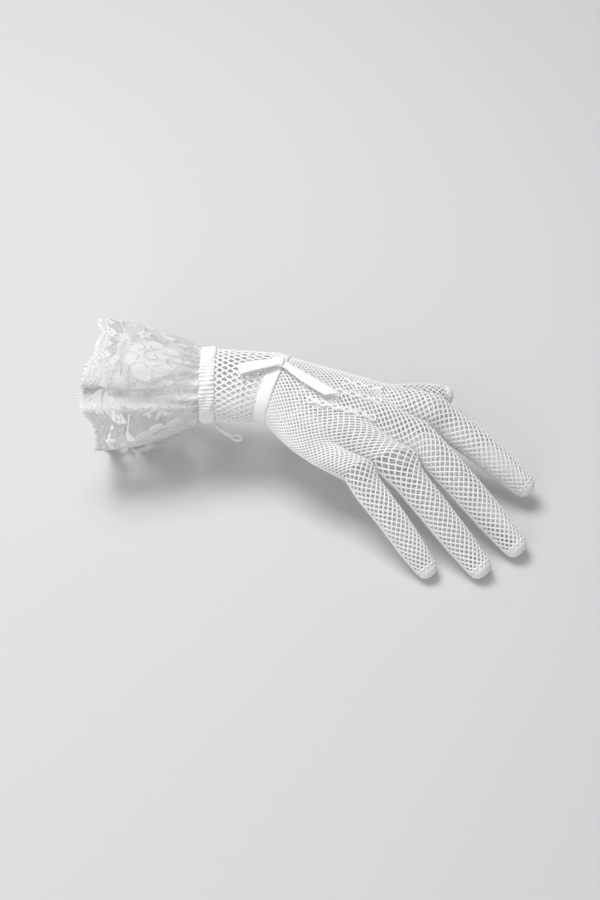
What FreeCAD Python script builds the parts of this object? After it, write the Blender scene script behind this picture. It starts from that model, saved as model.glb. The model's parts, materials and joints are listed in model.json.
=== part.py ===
"""Lace wedding glove, right hand, palm down: openwork hand, net wrist, satin band and bow, lace ruffle.

Frame: +X runs from the ruffle to the fingers, +Y towards the thumb, +Z up from the table.
The origin is under the middle of the glove, on the table.  All lengths are in millimetres.
"""
import FreeCAD, Part
import math
import os
from FreeCAD import Placement, Rotation, Vector

doc = FreeCAD.newDocument("lace_wedding_glove")

# ---------------------------------------------------------------- driving dimensions
SIZES = {
    # cloth thickness of the knitted net, of the lace and of the satin ribbon
    "net_thickness": 1.2, "lace_thickness": 1.2, "ribbon_thickness": 0.6,
    # room kept round each flexing net where the hand panels end beside it
    "fold_clearance": 0.4,
    # block that takes the upper or the lower half of the hand
    "half_start": -20.0, "half_width": 160.0, "half_height": 80.0,
    # wrist joint, where the satin band sits: its place on the table and the way it faces
    "wrist_x": -18.8, "wrist_y": 28.5, "wrist_z": 44.1,
    "hand_yaw": -24.6, "hand_pitch": 6.5, "hand_roll": 7.8,
    "band_yaw": -20.0, "band_pitch": 3.0,
    "wrist_half_width": 20.5, "wrist_half_depth": 16.0, "band_width": 7.5,
    "band_stand_off": 0.5, "elastic_thickness": 0.5,
    # hand panels: half width, half depth and sideways place of the cross-sections
    "heel_along": 16.0, "heel_half_width": 24.0, "heel_half_depth": 14.0, "heel_side": -1.5,
    "palm_along": 36.0, "palm_half_width": 29.5, "palm_half_depth": 12.5, "palm_side": -2.0,
    "knuckle_along": 55.0, "knuckle_half_width": 33.0, "knuckle_half_depth": 10.5,
    "knuckle_side": -2.5, "knuckle_skew": 14.0,
    "web_along": 68.0, "web_half_width": 32.0, "web_half_depth": 8.5,
    "web_side": 1.5, "web_skew": 20.0,
    # sleeve: gap that the flexing net spans at the knuckle and at the middle joint
    "thumb_stub_yaw": 35.0, "thumb_stub_pitch": 26.0, "knuckle_gap": 5.0, "joint_gap": 6.5, "cap_height": 4.6,
    # wrist net and ruffle, measured back from the band along the arm
    "net_length": 27.0, "net_half_width": 20.5, "net_half_depth": 16.5,
    "arm_yaw": -6.0, "heading_yaw": -1.0, "heading_width": 7.0,
    "heading_half_width": 20.5, "heading_half_depth": 17.0,
    "ruffle_length": 61.0, "border_width": 9.0, "ruffle_top": 31.0, "ruffle_side": 33.0,
    "ruffle_drop": 45.0, "fold_count": 7, "fold_height": 3.2,
    # bow: ribbon width, loop, knot and free end
    "ribbon_width": 6.5, "loop_length": 20.0, "loop_height": 3.6, "knot_length": 6.0,
    "knot_height": 4.2, "tail_length": 33.0, "tail_point": 4.0, "bow_side": 5.5, "bow_yaw": 34.0, "tail_yaw": -13.0,
    # three raised point lines on the back of the hand and the loose seam end at the heading
    "point_radius": 0.9, "seam_end_radius": 0.8, "seam_end_length": 15.0,
}

# Each digit in the hand's own frame: where its knuckle lies, how it turns sideways, how far
# down its two lengths point, those lengths, and its radius at knuckle, joint and tip.
DIGITS = {
    "thumb": {"along": 43.0, "side": 33.5, "up": -26.5, "yaw": 34.0, "lower_pitch": 3.0,
              "upper_pitch": 3.0, "lower": 23.0, "upper": 19.0, "stub_back": 46.0,
              "stub_start_radius": 8.0, "radius_knuckle": 8.6, "radius_joint": 7.4,
              "radius_tip": 5.3},
    "index": {"along": 79.0, "side": 26.6, "up": -2.5, "yaw": -9.0, "lower_pitch": 12.0,
              "upper_pitch": 20.0, "lower": 32.0, "upper": 31.0, "stub_back": 16.0,
              "stub_start_radius": 9.4, "radius_knuckle": 8.8, "radius_joint": 7.9,
              "radius_tip": 5.8},
    "middle": {"along": 82.0, "side": 6.0, "up": -0.5, "yaw": -21.0, "lower_pitch": 13.0,
               "upper_pitch": 16.0, "lower": 36.0, "upper": 37.0, "stub_back": 16.0,
               "stub_start_radius": 9.6, "radius_knuckle": 8.9, "radius_joint": 8.0,
               "radius_tip": 5.9},
    "ring": {"along": 75.5, "side": -12.0, "up": -1.0, "yaw": -24.5, "lower_pitch": 14.0,
             "upper_pitch": 14.5, "lower": 34.0, "upper": 35.0, "stub_back": 16.0,
             "stub_start_radius": 9.2, "radius_knuckle": 8.6, "radius_joint": 7.7,
             "radius_tip": 5.7},
    "little": {"along": 58.5, "side": -25.3, "up": -2.5, "yaw": -26.0, "lower_pitch": 13.0,
               "upper_pitch": 19.0, "lower": 32.0, "upper": 30.0, "stub_back": 16.0,
               "stub_start_radius": 8.8, "radius_knuckle": 7.8, "radius_joint": 7.0,
               "radius_tip": 5.2},
}

sheet = doc.addObject("Spreadsheet::Sheet", "sizes")


def write_cells():
    """Put every driving dimension in the sheet, one aliased cell to a row."""
    cells = dict(SIZES)
    for digit, values in DIGITS.items():
        for key, value in values.items():
            cells[digit + "_" + key] = value
    for row, (alias, value) in enumerate(cells.items(), start=1):
        sheet.set("A%d" % row, alias)
        sheet.set("B%d" % row, str(value))
        sheet.setAlias("B%d" % row, alias)
    doc.recompute()


def cell(alias):
    return float(sheet.get(alias))


def bind(obj, **expressions):
    """Bind properties of a document object to expressions over the sheet's cells."""
    for name, expression in expressions.items():
        obj.setExpression(name, expression)
    return obj


nodes = {}


def keep(obj, name):
    """Give a finished sub-part its node name."""
    obj.Label = name
    nodes[name] = obj
    return obj


write_cells()

# ---------------------------------------------------------------- frames
ALONG_X = Rotation(Vector(1, 1, 1), 120)      # turns a shape's own +Z to +X, and its +X to +Y
WRIST = Vector(cell("wrist_x"), cell("wrist_y"), cell("wrist_z"))
hand_frame = Placement(WRIST, Rotation(cell("hand_yaw"), cell("hand_pitch"), cell("hand_roll")))
band_frame = Placement(WRIST, Rotation(cell("band_yaw"), cell("band_pitch"), cell("hand_roll")))
arm_frame = Placement(WRIST, Rotation(cell("arm_yaw"), 0, 0))


def local(position, rotation=None):
    return Placement(position, rotation or Rotation())


def digit_frames(digit):
    """Frames whose +X runs along a digit's lower and upper length, at its knuckle and joint."""
    knuckle = Vector(cell(digit + "_along"), cell(digit + "_side"), cell(digit + "_up"))
    lower = hand_frame * local(knuckle, Rotation(cell(digit + "_yaw"), cell(digit + "_lower_pitch"), 0))
    joint = lower.multVec(Vector(cell(digit + "_lower"), 0, 0))
    turn = Rotation(cell(digit + "_yaw"), cell(digit + "_upper_pitch"), 0)
    upper = Placement(joint, hand_frame.Rotation * turn)
    return lower, upper


# ---------------------------------------------------------------- building blocks
def ellipse(name, placement, half_width, half_depth):
    """Section across a tube; half_width and half_depth are expressions over the sheet."""
    obj = doc.addObject("Part::Ellipse", name)
    bind(obj, MajorRadius=half_width, MinorRadius=half_depth)
    obj.Placement = placement * local(Vector(), ALONG_X)
    return obj


def circle(name, placement, radius):
    obj = doc.addObject("Part::Circle", name)
    bind(obj, Radius=radius)
    obj.Placement = placement * local(Vector(), ALONG_X)
    return obj


def loft(name, sections, ruled=False):
    obj = doc.addObject("Part::Loft", name)
    obj.Sections = sections
    obj.Solid = True
    obj.Ruled = ruled
    return obj


def cut(name, base, tool):
    obj = doc.addObject("Part::Cut", name)
    obj.Base = base
    obj.Tool = tool
    return obj


def fuse(name, shapes):
    obj = doc.addObject("Part::MultiFuse", name)
    obj.Shapes = shapes
    return obj


def common(name, first, second):
    obj = doc.addObject("Part::MultiCommon", name)
    obj.Shapes = [first, second]
    return obj


def cone(name, placement, start_radius, end_radius, length):
    """Cone along the placement's +X; radii and length are expressions over the sheet."""
    obj = doc.addObject("Part::Cone", name)
    bind(obj, Radius1=start_radius, Radius2=end_radius, Height=length)
    obj.Placement = placement * local(Vector(), ALONG_X)
    return obj


def elliptic_shell(name, sections, thickness):
    """Hollow tube through (placement, half width, half depth) sections."""
    solids = []
    for layer, less in (("outer", ""), ("inner", " - sizes." + thickness)):
        rings = []
        for number, (placement, width, depth) in enumerate(sections):
            ring_name = "%s_%s_%d" % (name, layer, number)
            rings.append(ellipse(ring_name, placement, width + less, depth + less))
        solids.append(loft("%s_%s" % (name, layer), rings))
    return solids


def cone_shell(name, placement, start_radius, end_radius, length):
    thickness = " - sizes.net_thickness"
    outer = cone(name + "_outer", placement, start_radius, end_radius, length)
    inner = cone(name + "_inner", placement, start_radius + thickness, end_radius + thickness, length)
    return keep(cut(name + "_shell", outer, inner), name)


# ---------------------------------------------------------------- hand panels
def hand_sections():
    """Cross-sections of the hand from the band to the webs, in the hand's frame."""
    start = band_frame * local(Vector(cell("band_width") / 2, 0, 0))
    sections = [(start, "sizes.wrist_half_width", "sizes.wrist_half_depth")]
    for part in ("heel", "palm", "knuckle", "web"):
        skew = -cell(part + "_skew") if part in ("knuckle", "web") else 0
        place = Vector(cell(part + "_along"), cell(part + "_side"), 0)
        frame = hand_frame * local(place, Rotation(skew, 0, 0))
        sections.append((frame, "sizes.%s_half_width" % part, "sizes.%s_half_depth" % part))
    return sections


def stub_frame(digit):
    """Frame at a digit's knuckle whose +X runs along the start of its sleeve in the palm."""
    lower, _ = digit_frames(digit)
    if digit == "thumb":
        turn = Rotation(cell("thumb_stub_yaw"), cell("thumb_stub_pitch"), 0)
        return Placement(lower.Base, hand_frame.Rotation * turn)
    return lower


def stub(digit, less, layer):
    """Start of a digit's sleeve, from inside the palm to the knuckle gap."""
    back = cell(digit + "_stub_back")
    placement = stub_frame(digit) * local(Vector(-back, 0, 0))
    reach = "sizes.%s_stub_back - sizes.knuckle_gap" % digit
    start = "sizes.%s_stub_start_radius%s" % (digit, less)
    end = "sizes.%s_radius_knuckle%s" % (digit, less)
    return cone("%s_stub_%s" % (digit, layer), placement, start, end, reach)


def fold_room(digit):
    """Room round a digit's knuckle, so that the panels stop short of its flexing net."""
    placement = stub_frame(digit) * local(Vector(-cell("knuckle_gap"), 0, 0))
    radius = "sizes.%s_radius_knuckle + sizes.fold_clearance" % digit
    return cone(digit + "_room", placement, radius, radius, "3 * sizes.knuckle_gap")


def make_hand():
    outer, inner = elliptic_shell("hand", hand_sections(), "net_thickness")
    layers = []
    for layer, body, less in (("outer", outer, ""), ("inner", inner, " - sizes.net_thickness")):
        stubs = [stub(digit, less, layer) for digit in DIGITS]
        layers.append(fuse("hand_%s_whole" % layer, [body] + stubs))
    shell = cut("hand_shell", layers[0], layers[1])
    rooms = fuse("hand_rooms", [fold_room(digit) for digit in DIGITS])
    shell = cut("hand_shell_clear", shell, rooms)
    for name, low in (("back_panel", 0), ("palm_panel", -cell("half_height"))):
        half = doc.addObject("Part::Box", name + "_half")
        bind(half, Length="sizes.half_width", Width="sizes.half_width", Height="sizes.half_height")
        corner = Vector(cell("half_start"), -cell("half_width") / 2, low)
        half.Placement = hand_frame * local(corner)
        keep(common(name + "_cut", shell, half), name)


# ---------------------------------------------------------------- digits
def bent_span(name, start, end, radius):
    """Short tube of net between two circles that face different ways."""
    solids = []
    for layer, less in (("outer", ""), ("inner", " - sizes.net_thickness")):
        ends = [circle("%s_%s_start" % (name, layer), start, radius + less),
                circle("%s_%s_end" % (name, layer), end, radius + less)]
        solids.append(loft("%s_%s" % (name, layer), ends))
    return keep(cut(name + "_span", solids[0], solids[1]), name)


def make_digit(digit):
    """Two stiff sleeves and a closed tip, joined by two short spans of net that flex."""
    lower, upper = digit_frames(digit)
    names = {part: "sizes.%s_%s" % (digit, part) for part in
             ("lower", "upper", "radius_knuckle", "radius_joint", "radius_tip")}
    gap, bend = "sizes.knuckle_gap", "sizes.joint_gap"
    stub_end = stub_frame(digit) * local(Vector(-cell("knuckle_gap"), 0, 0))
    start = lower * local(Vector(cell("knuckle_gap"), 0, 0))
    bent_span(digit + "_knuckle_fold", stub_end, start, names["radius_knuckle"])
    cone_shell(digit + "_lower_sleeve", start, names["radius_knuckle"], names["radius_joint"],
               "%s - %s - %s" % (names["lower"], gap, bend))
    before = lower * local(Vector(cell(digit + "_lower") - cell("joint_gap"), 0, 0))
    after = upper * local(Vector(cell("joint_gap"), 0, 0))
    bent_span(digit + "_joint_fold", before, after, names["radius_joint"])
    cone_shell(digit + "_upper_sleeve", after, names["radius_joint"], names["radius_tip"],
               "%s - %s" % (names["upper"], bend))
    end = upper * local(Vector(cell(digit + "_upper"), 0, 0))
    tip = doc.addObject("Part::Ellipsoid", digit + "_tip")
    bind(tip, Radius1="sizes.cap_height", Radius2=names["radius_tip"], Radius3=names["radius_tip"])
    tip.Angle1 = 0
    tip.Angle2 = 90
    tip.Placement = end * local(Vector(), ALONG_X)
    keep(tip, digit + "_tip_cap")


# ---------------------------------------------------------------- wrist: net, satin band, elastic
def make_wrist_net():
    half_band = cell("band_width") / 2
    front = band_frame * local(Vector(-half_band, 0, 0))
    middle = arm_frame * local(Vector(-half_band - cell("net_length") * 0.5, 0, 0))
    rear = arm_frame * local(Vector(-half_band - cell("net_length"), 0, 0),
                             Rotation(cell("heading_yaw") - cell("arm_yaw"), 0, 0))
    sections = [(front, "sizes.wrist_half_width", "sizes.wrist_half_depth"),
                (middle, "sizes.net_half_width - 0.6", "sizes.net_half_depth"),
                (rear, "sizes.heading_half_width", "sizes.heading_half_depth")]
    outer, inner = elliptic_shell("wrist_net_tube", sections, "net_thickness")
    keep(cut("wrist_net_shell", outer, inner), "wrist_net")
    return rear


def ring_body(name, placement, half_width, half_depth, thickness, width):
    """Flat band round an ellipse: a sketch of its two outlines, padded by the band's width."""
    body = doc.addObject("PartDesign::Body", name + "_body")
    sketch = body.newObject("Sketcher::SketchObject", name + "_outline")
    plane = [item for item in body.Origin.OriginFeatures if item.Role == "XY_Plane"][0]
    sketch.AttachmentSupport = [(plane, "")]
    sketch.MapMode = "FlatFace"
    for grown in (0, thickness):
        outline = Part.Ellipse(Vector(), half_width + grown, half_depth + grown)
        sketch.addGeometry(outline, False)
    pad = body.newObject("PartDesign::Pad", name + "_pad")
    pad.Profile = sketch
    bind(pad, Length=width)
    pad.Midplane = True
    body.Placement = placement * local(Vector(), ALONG_X)
    return keep(body, name)


def make_bands(heading_frame):
    """Elastic on the wrist, the satin band over it, and the gathered heading of the ruffle."""
    wide, deep = cell("wrist_half_width"), cell("wrist_half_depth")
    inset = cell("net_thickness")
    elastic = cell("elastic_thickness")
    ring_body("wrist_elastic", band_frame, wide - inset, deep - inset, elastic,
              "sizes.band_width - 1.0")
    ring_body("wrist_band", band_frame, wide - inset + elastic, deep - inset + elastic,
              inset + cell("band_stand_off"), "sizes.band_width")
    middle = heading_frame * local(Vector(-cell("heading_width") / 2, 0, 0))
    wide, deep = cell("heading_half_width"), cell("heading_half_depth")
    ring_body("heading_elastic", middle, wide - inset, deep - inset, elastic,
              "sizes.heading_width - 2.0")
    ring_body("ruffle_heading", middle, wide - inset + elastic, deep - inset + elastic,
              inset + cell("band_stand_off"), "sizes.heading_width")


# ---------------------------------------------------------------- lace ruffle
RING_POINTS = 84


def ruffle_ring(frame, share, inset):
    """Closed wavy outline of the ruffle at a share of its length, 0 at the heading.

    The lace lies close on the arm above, stands off at the sides and hangs to the table below.
    """
    growth = math.sin(share * math.pi / 2) ** 0.8
    folds = cell("fold_height") * share * int(share > 0)
    wide = cell("heading_half_width")
    deep = cell("heading_half_depth")
    points = []
    for step in range(RING_POINTS):
        angle = 2 * math.pi * step / RING_POINTS
        side, up = math.cos(angle), math.sin(angle)
        reach_up = cell("ruffle_top") if up > 0 else cell("ruffle_drop")
        half_side = wide + (cell("ruffle_side") - wide) * growth
        half_up = deep + (reach_up - deep) * growth
        fold = folds * (math.cos(cell("fold_count") * angle) - 1) - inset
        points.append(Vector(0, side * (half_side + fold), up * (half_up + fold)))
    curve = Part.BSplineCurve()
    curve.interpolate(Points=points, PeriodicFlag=True)
    place = frame * local(Vector(-share * cell("ruffle_length"), 0, 0))
    return Part.Wire([curve.toShape()]).transformed(place.toMatrix())


def ruffle_part(name, frame, shares):
    """Part::Feature, since no parametric feature lofts these periodic wavy outlines."""
    outer = Part.makeLoft([ruffle_ring(frame, share, 0) for share in shares], True)
    inner = Part.makeLoft([ruffle_ring(frame, share, cell("lace_thickness")) for share in shares], True)
    obj = doc.addObject("Part::Feature", name + "_lace")
    obj.Shape = outer.cut(inner)
    return keep(obj, name)


def make_ruffle(heading_frame):
    start = heading_frame * local(Vector(-cell("heading_width"), 0, 0))
    border = 1 - cell("border_width") / cell("ruffle_length")
    ruffle_part("lace_ruffle", start, [0, 0.2, 0.45, border * 0.85, border])
    ruffle_part("scalloped_edge", start, [border, (1 + border) / 2, 1])
    return start


# ---------------------------------------------------------------- bow, point lines, seam end
def flat_body(name, placement, outline, length):
    """Pad of closed outlines, each a list of corner points, in the placement's XY plane."""
    body = doc.addObject("PartDesign::Body", name + "_body")
    sketch = body.newObject("Sketcher::SketchObject", name + "_outline")
    plane = [item for item in body.Origin.OriginFeatures if item.Role == "XY_Plane"][0]
    sketch.AttachmentSupport = [(plane, "")]
    sketch.MapMode = "FlatFace"
    for edges in outline:
        sketch.addGeometry(edges, False)
    pad = body.newObject("PartDesign::Pad", name + "_pad")
    pad.Profile = sketch
    bind(pad, Length=length)
    pad.Midplane = True
    body.Placement = placement
    return keep(body, name)


def stadium(length, height):
    """Slot outline from x = 0 back to x = -length: two straights joined by half circles."""
    half = height / 2
    near, far = Vector(-half, 0, 0), Vector(-length + half, 0, 0)
    right = Part.Arc(near + Vector(0, -half, 0), near + Vector(half, 0, 0), near + Vector(0, half, 0))
    left = Part.Arc(far + Vector(0, half, 0), far + Vector(-half, 0, 0), far + Vector(0, -half, 0))
    top = Part.LineSegment(near + Vector(0, half, 0), far + Vector(0, half, 0))
    bottom = Part.LineSegment(far + Vector(0, -half, 0), near + Vector(0, -half, 0))
    return [right, top, left, bottom]


def polygon(corners):
    loop = corners + corners[:1]
    return [Part.LineSegment(first, second) for first, second in zip(loop, loop[1:])]


def make_bow():
    """Flat ribbon bow on top of the band: knot, one loop over the wrist net, one free end."""
    stand = cell("wrist_half_depth") + cell("elastic_thickness") + cell("band_stand_off")
    base = band_frame * local(Vector(1.5, cell("bow_side"), stand - 1.0))
    upright = Rotation(Vector(1, 0, 0), 90)
    knot_long, knot_high = cell("knot_length"), cell("knot_height")
    knot = base * local(Vector(knot_long / 2, 0, knot_high / 2), upright)
    flat_body("bow_knot", knot, [stadium(knot_long, knot_high)], "sizes.ribbon_width - 0.5")
    turn = Rotation(cell("bow_yaw"), 0, 0)
    loop_high, ribbon = cell("loop_height"), cell("ribbon_thickness")
    loop = base * local(Vector(), turn)
    loop = loop * local(Vector(-knot_long / 2, 0, loop_high / 2 + 0.8), upright)
    outside = stadium(cell("loop_length"), loop_high)
    inside = stadium(cell("loop_length") - 2 * ribbon, loop_high - 2 * ribbon)
    for edge in inside:
        edge.translate(Vector(-ribbon, 0, 0))
    flat_body("bow_loop", loop, [outside, inside], "sizes.ribbon_width")
    tail = base * local(Vector(0, 0, 2.2), Rotation(cell("tail_yaw"), 4, 0))
    half, end, point = cell("ribbon_width") / 2, cell("tail_length"), cell("tail_point")
    start = cell("knot_length") / 2 + 0.6
    corners = [Vector(start, -half, 0), Vector(end - point, -half, 0), Vector(end, half, 0),
               Vector(start, half, 0)]
    flat_body("bow_tail", tail, [polygon(corners)], "sizes.ribbon_thickness")


# point line: its first and its last end, each as along, sideways and up in the hand's frame
POINT_LINES = {"dorsal_point_far": ((33.0, 15.0, 11.1), (53.0, 21.5, 8.4)),
               "dorsal_point_middle": ((27.0, 5.0, 13.6), (56.0, 12.0, 10.2)),
               "dorsal_point_near": ((22.0, -5.5, 13.8), (58.0, 0.5, 10.6))}


def make_point_lines():
    """Three raised lines of lifted stitches on the back of the hand, gathered towards the bow."""
    for name, (start, end) in POINT_LINES.items():
        first, last = Vector(*start), Vector(*end)
        line = doc.addObject("Part::Cylinder", name + "_ridge")
        bind(line, Radius="sizes.point_radius")
        line.Height = (last - first).Length
        line.Placement = hand_frame * local(first, Rotation(Vector(0, 0, 1), last - first))
        keep(line, name)


def make_seam_end(heading_frame):
    """Loose end of the side seam, hanging from the heading towards the hand."""
    start = Vector(1.2, -cell("heading_half_width") * 0.72, -cell("heading_half_depth") * 0.86)
    heading = heading_frame.multVec(start)
    line = doc.addObject("Part::Cylinder", "seam_end_thread")
    bind(line, Radius="sizes.seam_end_radius", Height="sizes.seam_end_length")
    line.Placement = Placement(heading, Rotation(Vector(0, 0, 1), Vector(0.82, -0.42, -0.38)))
    keep(line, "seam_end")


# ---------------------------------------------------------------- build, check and write
def build():
    make_hand()
    for digit in DIGITS:
        make_digit(digit)
    heading_frame = make_wrist_net()
    make_bands(heading_frame)
    make_ruffle(heading_frame)
    make_bow()
    make_point_lines()
    make_seam_end(heading_frame)
    doc.recompute()


def check():
    for obj in doc.Objects:
        for bad in ("Invalid", "Error"):
            if bad in obj.State:
                raise RuntimeError("%s is %s" % (obj.Name, bad))
    for name, obj in nodes.items():
        shape = obj.Shape
        if shape.isNull() or not shape.isValid() or not shape.Solids:
            raise RuntimeError(name + " has no valid solid")


def write():
    os.makedirs("parts", exist_ok=True)
    for name, obj in nodes.items():
        obj.Shape.exportStep("parts/%s.step" % name)


build()
check()
write()
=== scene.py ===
"""Looks of the lace wedding glove: open net hand and fingers, satin band and bow, lace ruffle."""
import json
from math import cos, exp, hypot, pi, radians, sin

import bpy
import numpy as np
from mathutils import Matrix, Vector


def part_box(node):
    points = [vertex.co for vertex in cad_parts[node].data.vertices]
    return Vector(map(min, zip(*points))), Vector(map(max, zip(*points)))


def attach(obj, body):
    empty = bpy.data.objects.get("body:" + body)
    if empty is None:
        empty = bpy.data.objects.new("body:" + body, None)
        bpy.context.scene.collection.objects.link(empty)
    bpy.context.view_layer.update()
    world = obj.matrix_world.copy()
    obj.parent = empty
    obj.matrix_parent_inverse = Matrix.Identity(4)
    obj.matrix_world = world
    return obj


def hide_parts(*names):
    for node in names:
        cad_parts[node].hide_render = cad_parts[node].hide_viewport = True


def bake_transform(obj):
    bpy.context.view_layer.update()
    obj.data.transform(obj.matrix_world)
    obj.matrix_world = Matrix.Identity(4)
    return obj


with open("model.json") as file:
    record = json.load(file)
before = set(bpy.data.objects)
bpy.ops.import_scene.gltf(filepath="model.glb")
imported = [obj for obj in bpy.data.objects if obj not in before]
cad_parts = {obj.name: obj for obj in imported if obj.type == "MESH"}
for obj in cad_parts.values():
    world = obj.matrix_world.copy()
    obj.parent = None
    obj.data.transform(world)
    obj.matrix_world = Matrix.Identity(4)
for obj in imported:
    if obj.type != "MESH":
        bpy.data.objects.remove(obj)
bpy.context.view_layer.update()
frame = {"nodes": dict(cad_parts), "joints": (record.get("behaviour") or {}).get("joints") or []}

MM = 0.001
JOINTS = {joint["name"]: joint for joint in frame["joints"]}
FINGERS = ("little", "ring", "middle", "index")
DIGITS = FINGERS + ("thumb",)

# the hand's own frame, in degrees: turned about Z, then dipped, then rolled
HAND_YAW, HAND_PITCH, HAND_ROLL = -24.6, 6.5, 7.8
BAND_YAW, BAND_PITCH = -20.0, 3.0
ARM_YAW, HEADING_YAW = -6.0, -1.0


# ---- small vector helpers
def turn(yaw, pitch=0.0, roll=0.0):
    """Rotation matrix whose columns are the turned X, Y and Z."""
    y, p, r = (radians(value) for value in (yaw, pitch, roll))
    about_z = np.array([[cos(y), -sin(y), 0], [sin(y), cos(y), 0], [0, 0, 1]])
    about_y = np.array([[cos(p), 0, sin(p)], [0, 1, 0], [-sin(p), 0, cos(p)]])
    about_x = np.array([[1, 0, 0], [0, cos(r), -sin(r)], [0, sin(r), cos(r)]])
    return about_z @ about_y @ about_x


def unit(vectors):
    length = np.linalg.norm(vectors, axis=-1, keepdims=True)
    return vectors / np.maximum(length, 1e-9)


def smooth(value, low=0.0, high=1.0):
    share = np.clip((np.asarray(value, float) - low) / (high - low), 0, 1)
    return share * share * (3 - 2 * share)


def node_points(name):
    """Corner points of a CAD node, in millimetres."""
    mesh = frame["nodes"][name].data
    points = np.empty(len(mesh.vertices) * 3)
    mesh.vertices.foreach_get("co", points)
    return points.reshape(-1, 3) / MM


def box_middle(name):
    low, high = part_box(name)
    return (np.array(low) + np.array(high)) / 2 / MM


HAND_TURN = turn(HAND_YAW, HAND_PITCH, HAND_ROLL)
BAND_TURN = turn(BAND_YAW, BAND_PITCH, HAND_ROLL)
WRIST = box_middle("wrist_elastic")


def from_hand(points):
    return WRIST + np.asarray(points) @ HAND_TURN.T


def to_hand(points):
    return (np.asarray(points) - WRIST) @ HAND_TURN


# ---- meshes
def new_mesh(name, points, faces, material, smooth_shade=True):
    """Object from points in millimetres and faces that are lists of point numbers."""
    mesh = bpy.data.meshes.new(name)
    mesh.from_pydata((np.asarray(points) * MM).tolist(), [], [list(map(int, f)) for f in faces])
    mesh.update()
    if smooth_shade:
        mesh.polygons.foreach_set("use_smooth", [True] * len(mesh.polygons))
    obj = bpy.data.objects.new(name, mesh)
    bpy.context.scene.collection.objects.link(obj)
    mesh.materials.append(material)
    return obj


class Threads:
    """Collects round threads, each a tube along its own line, into one mesh."""

    def __init__(self, sides=6):
        self.sides = sides
        self.points = []
        self.faces = []
        self.count = 0

    def add(self, line, normals, radii, closed=False, flat=1.0):
        line = np.asarray(line, float)
        if len(line) < 2:
            return
        radii = np.broadcast_to(np.asarray(radii, float), (len(line),))
        if closed:
            ahead = np.roll(line, -1, 0) - np.roll(line, 1, 0)
        else:
            ahead = np.gradient(line, axis=0)
        ahead = unit(ahead)
        normals = np.asarray(normals, float)
        out = unit(normals - ahead * np.sum(normals * ahead, -1, keepdims=True))
        across = np.cross(ahead, out)
        angles = np.arange(self.sides) * 2 * pi / self.sides
        ring = (np.cos(angles)[None, :, None] * out[:, None, :] * flat
                + np.sin(angles)[None, :, None] * across[:, None, :])
        tube = line[:, None, :] + ring * radii[:, None, None]
        self.points.append(tube.reshape(-1, 3))
        rows = len(line)
        last = rows if closed else rows - 1
        side = np.arange(self.sides)[None, :]
        beside = (side + 1) % self.sides
        first = np.arange(last)[:, None] * self.sides
        second = (np.arange(last)[:, None] + 1) % rows * self.sides
        quads = np.stack([first + side, first + beside, second + beside, second + side], -1)
        self.faces.append(quads.reshape(-1, 4) + self.count)
        if not closed:
            start = list(range(self.count, self.count + self.sides))[::-1]
            end_at = self.count + (rows - 1) * self.sides
            end = list(range(end_at, end_at + self.sides))
            self.faces += [[start], [end]]
        self.count += rows * self.sides

    def build(self, name, material):
        faces = [list(face) for block in self.faces for face in block]
        return new_mesh(name, np.concatenate(self.points), faces, material)


def grid_faces(rows, columns, closed):
    """Quads of a grid of points stored row by row, closed round its columns if asked."""
    last = columns if closed else columns - 1
    row, column = np.meshgrid(np.arange(rows - 1), np.arange(last), indexing="ij")
    after = (column + 1) % columns
    quads = np.stack([row * columns + column, row * columns + after,
                      (row + 1) * columns + after, (row + 1) * columns + column], -1)
    return quads.reshape(-1, 4)


# ---- materials
def on_hand(piece, slot, *nodes):
    """Piece that rides on the hand and stands for some of its CAD nodes."""
    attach(piece, "hand")
    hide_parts(*nodes)


def set_inputs(node, values):
    for socket, value in values.items():
        node.inputs[socket].default_value = value
    return node


def add_node(material, kind, values):
    """New shader node, with values given for some of its inputs."""
    return set_inputs(material.node_tree.nodes.new(kind), values)


def cloth_material(name, colour, rough=0.85, sheen=0.25, through=0.0, bump=()):
    """Cloth with a fine two-scale thread grain; bump is a list of (scale, detail, strength)."""
    material = bpy.data.materials.new(name)
    material.use_nodes = True
    link = material.node_tree.links.new
    shader = material.node_tree.nodes["Principled BSDF"]
    set_inputs(shader, {"Roughness": rough, "Sheen Weight": sheen, "Sheen Roughness": 0.5,
                        "Subsurface Weight": through, "Subsurface Radius": (0.002, 0.002, 0.002)})
    place = add_node(material, "ShaderNodeTexCoord", {})
    tint = add_node(material, "ShaderNodeTexNoise", {"Scale": 90.0, "Detail": 4.0})
    link(place.outputs["Object"], tint.inputs["Vector"])
    ramp = add_node(material, "ShaderNodeValToRGB", {})
    darker, full = ramp.color_ramp.elements
    darker.color, darker.position = (*[channel * 0.93 for channel in colour], 1), 0.3
    full.color, full.position = (*colour, 1), 0.65
    link(tint.outputs["Fac"], ramp.inputs["Fac"])
    link(ramp.outputs["Color"], shader.inputs["Base Color"])
    before = None
    for scale, detail, strength in bump:
        grain = add_node(material, "ShaderNodeTexNoise", {"Scale": scale, "Detail": detail})
        link(place.outputs["Object"], grain.inputs["Vector"])
        relief = add_node(material, "ShaderNodeBump", {"Strength": strength, "Distance": 0.0003})
        link(grain.outputs["Fac"], relief.inputs["Height"])
        if before:
            link(before.outputs["Normal"], relief.inputs["Normal"])
        before = relief
    if before:
        link(before.outputs["Normal"], shader.inputs["Normal"])
    return material


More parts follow.
